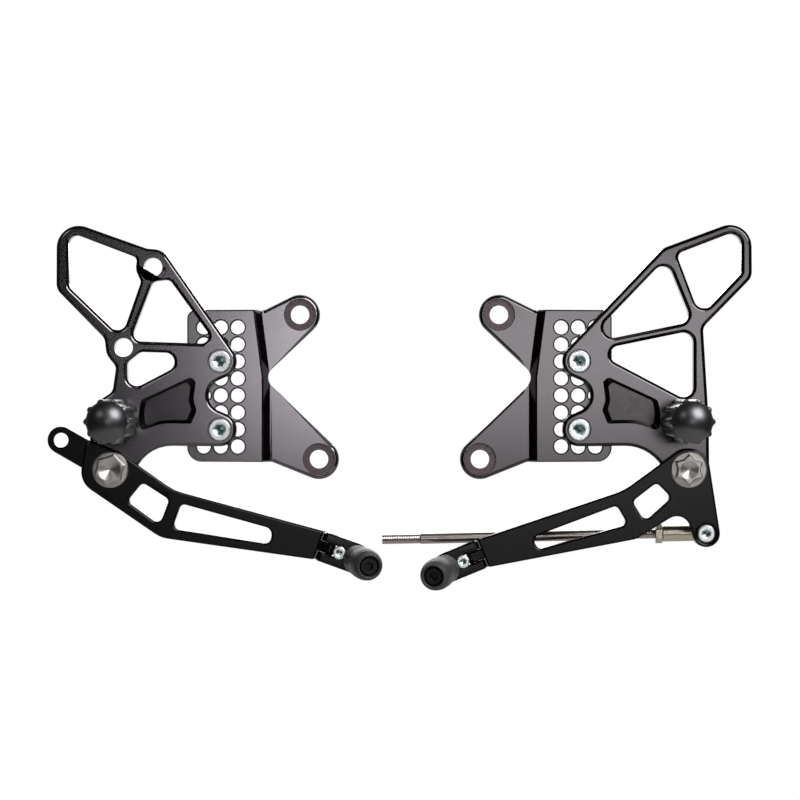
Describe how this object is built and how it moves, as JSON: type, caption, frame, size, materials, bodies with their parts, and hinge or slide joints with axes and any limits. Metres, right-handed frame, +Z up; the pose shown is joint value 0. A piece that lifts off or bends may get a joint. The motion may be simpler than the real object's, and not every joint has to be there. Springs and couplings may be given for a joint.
{
  "type": "motorcycle rear sets footrest pair",
  "caption": "Pair of motorcycle rear sets: drilled frame plates, windowed hangers, fluted foot pegs, a brake lever and a gear lever with folding toes and a gear rod.",
  "frame": {"origin": "midway between the two frame bolt holes of the brake side, on the back face that meets the motorcycle", "axes": "+X across the pair, from the brake side to the gear side; +Y into the motorcycle; +Z up"},
  "size_m": [0.4113, 0.113, 0.2121],
  "materials": {
    "black_anodised": "black anodised, satin, fine bead-blasted grain",
    "bright_steel": "bright zinc or stainless, turned",
    "plain_steel": "drawn stainless bar, thread rolled",
    "black_steel": "black oxide",
    "zinc_steel": "yellowish zinc plate",
    "bronze": "sintered oil-filled bronze",
    "black_rubber": "moulded, satin"
  },
  "bodies": {
    "frame": {"brake_frame_plate": "black_anodised", "brake_hanger": "black_anodised", "brake_hanger_bolts": "bright_steel", "brake_hanger_nuts": "bright_steel", "brake_peg": "black_anodised", "brake_peg_bolt": "plain_steel", "brake_pivot_bolt": "bright_steel", "brake_thrust_washer": "bright_steel", "shift_frame_plate": "black_anodised", "shift_hanger": "black_anodised", "shift_hanger_bolts": "bright_steel", "shift_hanger_nuts": "bright_steel", "shift_peg": "black_anodised", "shift_peg_bolt": "plain_steel", "shift_pivot_bolt": "bright_steel", "shift_thrust_washer": "bright_steel"},
    "brake_arm": {"brake_lever": "black_anodised", "brake_bush": "bronze"},
    "brake_toe": {"brake_toe_block": "black_anodised", "brake_fold_pin": "plain_steel", "brake_toe_peg": "black_rubber", "brake_toe_screw": "black_steel", "brake_lock_screw": "bright_steel"},
    "shift_arm": {"shift_lever": "black_anodised", "shift_bush": "bronze", "shift_link_bolt": "bright_steel", "shift_link_nut": "bright_steel", "shift_ball": "bright_steel"},
    "shift_toe": {"shift_toe_block": "black_anodised", "shift_fold_pin": "plain_steel", "shift_toe_peg": "black_rubber", "shift_toe_screw": "black_steel", "shift_lock_screw": "bright_steel"},
    "shift_link": {"shift_rod_end": "zinc_steel", "shift_jam_nut": "zinc_steel", "shift_rod": "plain_steel"}
  },
  "joints": [
    {"name": "brake_press", "type": "hinge", "parent": "frame", "child": "brake_arm", "pos_m": [-0.1152, -0.0335, -0.0482], "axis": [0, 1, 0], "range_deg": [-3, 12]},
    {"name": "brake_toe_fold", "type": "hinge", "parent": "brake_arm", "child": "brake_toe", "pos_m": [0.01265, -0.03355, -0.09398], "axis": [-0.3371, 0, -0.9415], "range_deg": [0, 80], "stiffness_Nm_per_rad": 0.05, "springref_deg": -17.19},
    {"name": "shift_change", "type": "hinge", "parent": "frame", "child": "shift_arm", "pos_m": [0.22137, -0.0335, -0.0482], "axis": [0, 1, 0], "range_deg": [-10, 10]},
    {"name": "shift_toe_fold", "type": "hinge", "parent": "shift_arm", "child": "shift_toe", "pos_m": [0.09537, -0.03355, -0.09885], "axis": [-0.373, 0, 0.9278], "range_deg": [0, 80], "stiffness_Nm_per_rad": 0.05, "springref_deg": -17.19},
    {"name": "shift_rod_swing", "type": "hinge", "parent": "shift_arm", "child": "shift_link", "pos_m": [0.2317, -0.024, -0.08543], "axis": [0, 1, 0], "range_deg": [-12, 12]}
  ]
}
